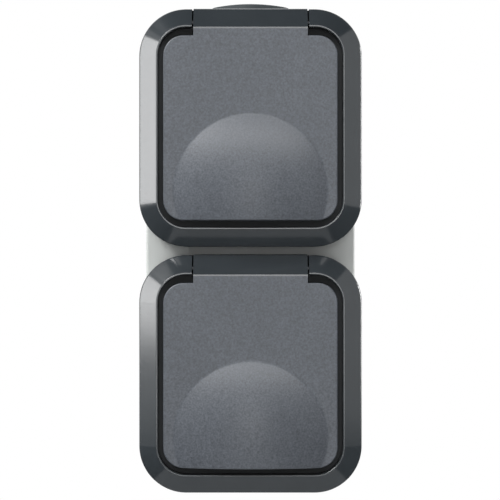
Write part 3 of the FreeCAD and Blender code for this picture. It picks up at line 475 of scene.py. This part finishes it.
@dataclass
class Finishes:
    """The made materials, each built once."""

    made: dict[str, Material] = field(default_factory=dict)

    def of(self, finish: Finish) -> Material:
        """The material of a finish.

        Args:
            finish: What the piece is made of.

        Returns:
            The shared material.
        """
        if finish.name not in self.made:
            self.made[finish.name] = finish.make()
        return self.made[finish.name]

    def dress(self, nodes: Sequence[str], finish: Finish) -> None:
        """Put a finish on whole pieces of the frame.

        Args:
            nodes: Names of the pieces.
            finish: What they are made of.
        """
        for name in nodes:
            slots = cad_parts[name].data.materials
            slots.clear()
            slots.append(self.of(finish))
            LOG.info("%s: %s", name, finish.name)


def surface_mesh(name: str, points: np.ndarray, round_about: bool) -> bpy.types.Mesh:
    """Make a smooth mesh from a grid of points.

    Each four neighbours of the grid make a face. The ends of a tube are closed with one face each.

    Args:
        name: Name of the mesh.
        points: Rows of a grid, shape (rows, columns, 3), in metres.
        round_about: True where the last column meets the first.

    Returns:
        The mesh.
    """
    rows, columns, _ = points.shape
    strips = columns if round_about else columns - 1
    row, column = np.meshgrid(np.arange(rows - 1), np.arange(strips), indexing="ij")
    following = (column + 1) % columns
    here, beyond = row * columns, (row + 1) * columns
    faces = np.stack([here + column, here + following, beyond + following, beyond + column],
                     axis=-1)
    every = faces.reshape(-1, 4).tolist()
    if round_about:
        ring = np.arange(columns)
        every += [ring[::-1].tolist(), (ring + (rows - 1) * columns).tolist()]
    mesh = bpy.data.meshes.new(name)
    mesh.from_pydata(points.reshape(-1, 3), [], every)
    mesh.polygons.foreach_set("use_smooth", np.ones(len(mesh.polygons), bool))
    mesh.update()
    return mesh


def flat_board(name: str, centre: tuple[float, float, float], half: tuple[float, float],
               upright: bool = False) -> bpy.types.Mesh:
    """Make a flat rectangle: centre + (u * half width, v * half depth), with u and v from -1 to 1.

    Args:
        name: Name of the mesh.
        centre: Its middle, in metres.
        half: Half its width, along x, and half its other side, in metres.
        upright: True where the other side stands along z, and False where it lies along y.

    Returns:
        The mesh.
    """
    wide, deep = half
    across, along = np.meshgrid(np.array([-wide, wide]), np.array([-deep, deep]), indexing="ij")
    flat = np.zeros_like(across)
    spread = [across, flat, along] if upright else [across, along, flat]
    return surface_mesh(name, np.stack(spread, axis=-1) + np.array(centre), round_about=False)


def carried_along(path: np.ndarray, radius: float, sides: int) -> np.ndarray:
    """Carry a circle along a path.

    The first ring's normal is square to the path. Each next normal is the last one with its part
    along the path taken off, so the tube never twists, and a ring point is the path point plus
    radius * (cos(angle) * normal + sin(angle) * binormal).

    Args:
        path: Points of the path, shape (count, 3).
        radius: Radius of the circle.
        sides: Points of each ring.

    Returns:
        The grid of ring points, shape (count, sides, 3).
    """
    tangents = np.gradient(path, axis=0)
    tangents /= np.linalg.norm(tangents, axis=1, keepdims=True)
    normals = np.zeros_like(path)
    start = np.cross(tangents[0], (1.0, 0.0, 0.0))
    normals[0] = start / np.linalg.norm(start)
    for index in range(1, len(path)):
        carried = normals[index - 1] - tangents[index] * (normals[index - 1] @ tangents[index])
        normals[index] = carried / np.linalg.norm(carried)
    binormals = np.cross(tangents, normals)
    angles = np.linspace(0.0, 2 * np.pi, sides, endpoint=False)[None, :, None]
    ring = np.cos(angles) * normals[:, None, :] + np.sin(angles) * binormals[:, None, :]
    return path[:, None, :] + radius * ring


@dataclass
class LidSpring:
    """Torsion spring of round wire, in millimetres.

    A coil lies round the hinge pin, with one leg on the lid and one on the frame.
    """

    gang: Gang
    axis_up: float = 32.15
    axis_depth: float = 41.0
    wire: float = 0.35
    coil: float = 1.9
    turns: float = 4.5
    pitch: float = 1.1
    lid_leg: float = 7.1
    frame_leg: float = 3.7
    steps_a_turn: int = 40
    steps_a_leg: int = 12
    sides: int = 12

    def path(self) -> np.ndarray:
        """The wire's middle line, in metres.

        The coil point at turn t, measured from the pin's middle, is
        (pitch * (t - turns / 2), -coil * cos(2 pi t), coil * sin(2 pi t)).
        The coil starts in front of the pin and ends behind it, and both legs run straight down.

        Returns:
            Points from the lid's leg tip to the frame's leg tip, shape (count, 3).
        """
        turn = np.linspace(0.0, self.turns, int(self.turns * self.steps_a_turn) + 1)
        angle = 2 * np.pi * turn
        coil = np.stack([self.pitch * (turn - self.turns / 2), -self.coil * np.cos(angle),
                         self.coil * np.sin(angle)], axis=1)
        down = np.linspace(1.0, 0.0, self.steps_a_leg, endpoint=False)[:, None]
        first = coil[0] + down * np.array([0.0, 0.0, -self.lid_leg])
        last = coil[-1] + (1.0 - down[1:]) * np.array([0.0, 0.0, -self.frame_leg])
        middle = np.array([0.0, -self.axis_depth, self.gang.middle + self.axis_up])
        return (np.concatenate([first, coil, last]) + middle) * MM

    def build(self, finishes: Finishes) -> BlenderObject:
        """Make the wire and put it in place of the plain spring, which is hidden.

        Args:
            finishes: The made materials.

        Returns:
            The spring.
        """
        points = carried_along(self.path(), self.wire * MM, self.sides)
        mesh = surface_mesh(f"spring_wire_{self.gang.label}", points, round_about=True)
        mesh.materials.append(finishes.of(SPRING_WIRE))
        spring = bpy.data.objects.new(mesh.name, mesh)
        bpy.context.scene.collection.objects.link(spring)
        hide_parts(f"lid_spring_{self.gang.label}")
        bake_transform(spring)
        return spring


@dataclass
class WallBox:
    """The box on the wall with its cable entries."""

    entries: tuple[str, ...] = ("top", "bottom")

    def dress(self, finishes: Finishes) -> None:
        """Give the box and its grommets their finishes."""
        finishes.dress(["wall_box"], BOX_SATIN)
        finishes.dress([f"cable_grommet_{entry}" for entry in self.entries], GROMMET_RUBBER)


@dataclass
class CoverFrame:
    """One bevelled frame with what fixes it and seals it to the box."""

    gang: Gang

    def dress(self, finishes: Finishes) -> None:
        """Give the frame, its gasket, its hinge pin and its screws their finishes."""
        word = self.gang.label
        finishes.dress([f"cover_frame_{word}"], FRAME_FINISH)
        finishes.dress([f"box_seal_{word}"], SEAL_RUBBER)
        finishes.dress([f"hinge_pin_{word}"], PIN_STEEL)
        finishes.dress([f"cover_screws_{word}"], SCREW_STEEL)


@dataclass
class HingedLid:
    """One lid with its seal and its spring."""

    gang: Gang

    def dress(self, finishes: Finishes) -> None:
        """Give the lid and its seal their finishes."""
        word = self.gang.label
        finishes.dress([f"hinged_lid_{word}"], LID_FINISH)
        finishes.dress([f"lid_seal_{word}"], SEAL_RUBBER)

    def build(self, finishes: Finishes) -> list[BlenderObject]:
        """Make the pieces that the solids only stand in for."""
        return [LidSpring(self.gang).build(finishes)]


@dataclass
class PlugInsert:
    """The plug recess and the contacts behind it."""

    gang: Gang

    def dress(self, finishes: Finishes) -> None:
        """Give the recess, the base, the contacts and their screws their finishes."""
        word = self.gang.label
        finishes.dress([f"socket_cup_{word}"], INSERT_SATIN)
        finishes.dress([f"insert_base_{word}"], BASE_WAXY)
        finishes.dress([f"live_contact_{word}", f"neutral_contact_{word}"], CONTACT_BRASS)
        finishes.dress([f"earth_clip_{word}"], CLIP_NICKEL)
        screws = ("insert_screws", "terminal_screws", "cup_screw")
        finishes.dress([f"{kind}_{word}" for kind in screws], SCREW_STEEL)


@dataclass(frozen=True)
class SoftLamp:
    """A rectangular soft lamp, placed and aimed in metres."""

    name: str
    place: tuple[float, float, float]
    aim: tuple[float, float, float]
    wide: float
    tall: float
    watts: float

    def light(self) -> BlenderObject:
        """Make the lamp.

        Returns:
            The lamp's object.
        """
        data = bpy.data.lights.new(self.name, "AREA")
        data.shape = "RECTANGLE"
        data.size = self.wide
        data.size_y = self.tall
        data.energy = self.watts
        lamp = bpy.data.objects.new(self.name, data)
        lamp.location = self.place
        towards = Vector(self.aim) - Vector(self.place)
        lamp.rotation_euler = towards.to_track_quat("-Z", "Y").to_euler()
        bpy.context.scene.collection.objects.link(lamp)
        return lamp


@dataclass(frozen=True)
class ShadeCard:
    """A black or grey card, level or upright, in metres.

    Only gloss sees it, so what mirrors its side stays dark.
    """

    name: str
    centre: tuple[float, float, float]
    half: tuple[float, float]
    upright: bool = False
    shade: str = "#08090A"

    def hang(self) -> None:
        """Lay the card out and keep it off the eye, the soft light and the shadows."""
        mesh = flat_board(self.name, self.centre, self.half, self.upright)
        material, tree = empty_material(f"matt_{self.name}")
        board = add_node(tree, "BsdfDiffuse", {"Color": linear(self.shade)})
        add_node(tree, "OutputMaterial", links={"Surface": (board, 0)})
        mesh.materials.append(material)
        card = bpy.data.objects.new(self.name, mesh)
        card.visible_camera = False
        card.visible_diffuse = False
        card.visible_shadow = False
        card.visible_transmission = False
        bpy.context.scene.collection.objects.link(card)
        card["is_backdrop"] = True


@dataclass
class Studio:
    """Camera, lamps, cards, floor and a white surround, in metres.

    The camera stands straight in front, and its field is frame_width wide at the face of the
    block. The left softbox whitens the left bevels, the key and the arch give the domes their
    sheen, the side softbox lifts the right bevels, and the front softbox draws the ridges. The
    cards keep the other bevels and the moats dark.
    """

    distance: float = 0.645
    face_depth: float = 0.0425
    frame_width: float = 0.1528
    offset: tuple[float, float] = (-0.00015, 0.00029)
    sensor_mm: float = 36.0
    nearest: float = 0.01
    floor_level: float = -0.16
    floor_half: float = 0.8
    floor_fade: tuple[float, float] = (0.2, 0.55)
    ambient: float = 0.07
    cards: tuple[ShadeCard, ...] = (
        ShadeCard("overhead_card", (0.0, -0.05, 0.45), (0.5, 0.15)),
        ShadeCard("camera_card", (0.0, -1.25, 0.0), (0.6, 0.6), upright=True),
        ShadeCard("low_left_card", (-0.6, -0.1, -0.15), (0.5, 0.5)),
        ShadeCard("low_right_card", (0.6, -0.1, -0.15), (0.5, 0.5)),
        ShadeCard("low_middle_card", (0.0, -0.1, -0.15), (0.1, 0.5), shade="#AEAFB0"),
    )
    lamps: tuple[SoftLamp, ...] = (
        SoftLamp("left_softbox", (-1.0, -0.17, 0.28), (0.0, -0.02, 0.28), 0.14, 0.69, 3.1),
        SoftLamp("key_softbox", (-0.5, -0.33, 0.58), (0.0, -0.04, 0.02), 0.3, 0.3, 7.5),
        SoftLamp("arch_softbox", (0.0, -0.72, 0.5), (0.0, -0.04, 0.0), 1.1, 0.2, 5.5),
        SoftLamp("side_softbox", (0.8, 0.12, 0.1), (0.0, -0.02, 0.0), 0.15, 0.4, 5.0),
        SoftLamp("front_softbox", (0.0, -1.15, 0.05), (0.0, -0.04, 0.0), 0.2, 0.42, 1.7),
    )

    def set_up(self) -> None:
        """Build the whole studio."""
        self.place_camera()
        self.light_room()
        self.lay_floor()
        for card in self.cards:
            card.hang()
        for lamp in self.lamps:
            lamp.light()
        bpy.context.scene.view_settings.view_transform = "Standard"

    def place_camera(self) -> None:
        """Stand the camera straight in front, as far off as the picture's perspective tells."""
        data = bpy.data.cameras.new("camera")
        data.sensor_width = self.sensor_mm
        data.angle = 2 * math.atan(self.frame_width / 2 / self.distance)
        data.clip_start = self.nearest
        camera = bpy.data.objects.new("camera", data)
        camera.location = (self.offset[0], -self.distance - self.face_depth, self.offset[1])
        camera.rotation_euler = (math.pi / 2, 0.0, 0.0)
        bpy.context.scene.collection.objects.link(camera)
        bpy.context.scene.camera = camera

    def light_room(self) -> None:
        """A surround that is white to the eye and in gloss, and a soft fill on matt surfaces."""
        world = bpy.data.worlds.new("studio_surround")
        bpy.context.scene.world = world
        world.use_nodes = True
        tree = world.node_tree
        tree.nodes.clear()
        seen = self.seen_directly(tree)
        fill = add_node(tree, "Background", {"Color": linear("#F4F6F8"), "Strength": self.ambient})
        white = add_node(tree, "Background", {"Color": linear("#FFFFFF"), "Strength": 1.0})
        mixed = add_node(tree, "MixShader", links={0: (seen, 0), 1: (fill, 0), 2: (white, 0)})
        add_node(tree, "OutputWorld", links={"Surface": (mixed, 0)})

    @staticmethod
    def seen_directly(tree: Tree) -> Node:
        """One for what the eye, a mirror or clear glass sees, nought for soft light."""
        rays = add_node(tree, "LightPath")
        eye = add_node(tree, "Math", {".operation": "MAXIMUM"},
                       {0: (rays, "Is Camera Ray"), 1: (rays, "Is Glossy Ray")})
        return add_node(tree, "Math", {".operation": "MAXIMUM"},
                        {0: (eye, 0), 1: (rays, "Is Transmission Ray")})

    def lay_floor(self) -> None:
        """A pale matt floor below the object, which keeps the soft shadow and turns white far off.

        The eye sees more and more plain white from near to far, by the smooth step of
        (sqrt(x^2 + y^2 + z^2) - near) / (far - near).
        """
        near, far = self.floor_fade
        mesh = flat_board("floor", (0.0, 0.0, self.floor_level), (self.floor_half, self.floor_half))
        material, tree = empty_material("matt_white_board")
        board = add_node(tree, "BsdfDiffuse", {"Color": linear("#F2F2F2")})
        white = add_node(tree, "Emission", {"Color": linear("#FFFFFF"), "Strength": 1.0})
        place = add_node(tree, "TexCoord")
        away = add_node(tree, "VectorMath", {".operation": "LENGTH"}, {0: (place, "Object")})
        fade = add_span(tree, (away, "Value"), (near, far), WHOLE_SPAN)
        fade.interpolation_type = "SMOOTHSTEP"
        seen = self.seen_directly(tree)
        faded = add_node(tree, "Math", {".operation": "MULTIPLY"},
                         {0: (fade, "Result"), 1: (seen, 0)})
        mixed = add_node(tree, "MixShader", links={0: (faded, 0), 1: (board, 0), 2: (white, 0)})
        add_node(tree, "OutputMaterial", links={"Surface": (mixed, 0)})
        mesh.materials.append(material)
        floor = bpy.data.objects.new("floor", mesh)
        bpy.context.scene.collection.objects.link(floor)
        floor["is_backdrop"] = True


@dataclass
class SocketBlock:
    """The whole object: one box and two gangs."""

    finishes: Finishes = field(default_factory=Finishes)

    def build(self) -> None:
        """Dress every piece of the frame and add what it lacks."""
        WallBox().dress(self.finishes)
        for gang in Gang:
            CoverFrame(gang).dress(self.finishes)
            PlugInsert(gang).dress(self.finishes)
            lid = HingedLid(gang)
            lid.dress(self.finishes)
            for piece in lid.build(self.finishes):
                LOG.info("%s: %d faces", piece.name, len(piece.data.polygons))


def as_lists(bounds: Any) -> Any:
    """Corners as plain lists of numbers, whatever holds them."""
    if isinstance(bounds, dict):
        return {key: as_lists(value) for key, value in bounds.items()}
    if isinstance(bounds, (str, int, float)):
        return bounds
    return [as_lists(value) for value in bounds]


def main() -> None:
    """Build the object and its studio, and gather the two sizes, which nothing keeps."""
    logging.basicConfig(level=logging.INFO, format="%(message)s")
    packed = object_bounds()
    SocketBlock().build()
    Studio().set_up()
    {"cad": as_lists(packed), "scene": as_lists(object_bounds())}


if __name__ == "__main__":
    main()
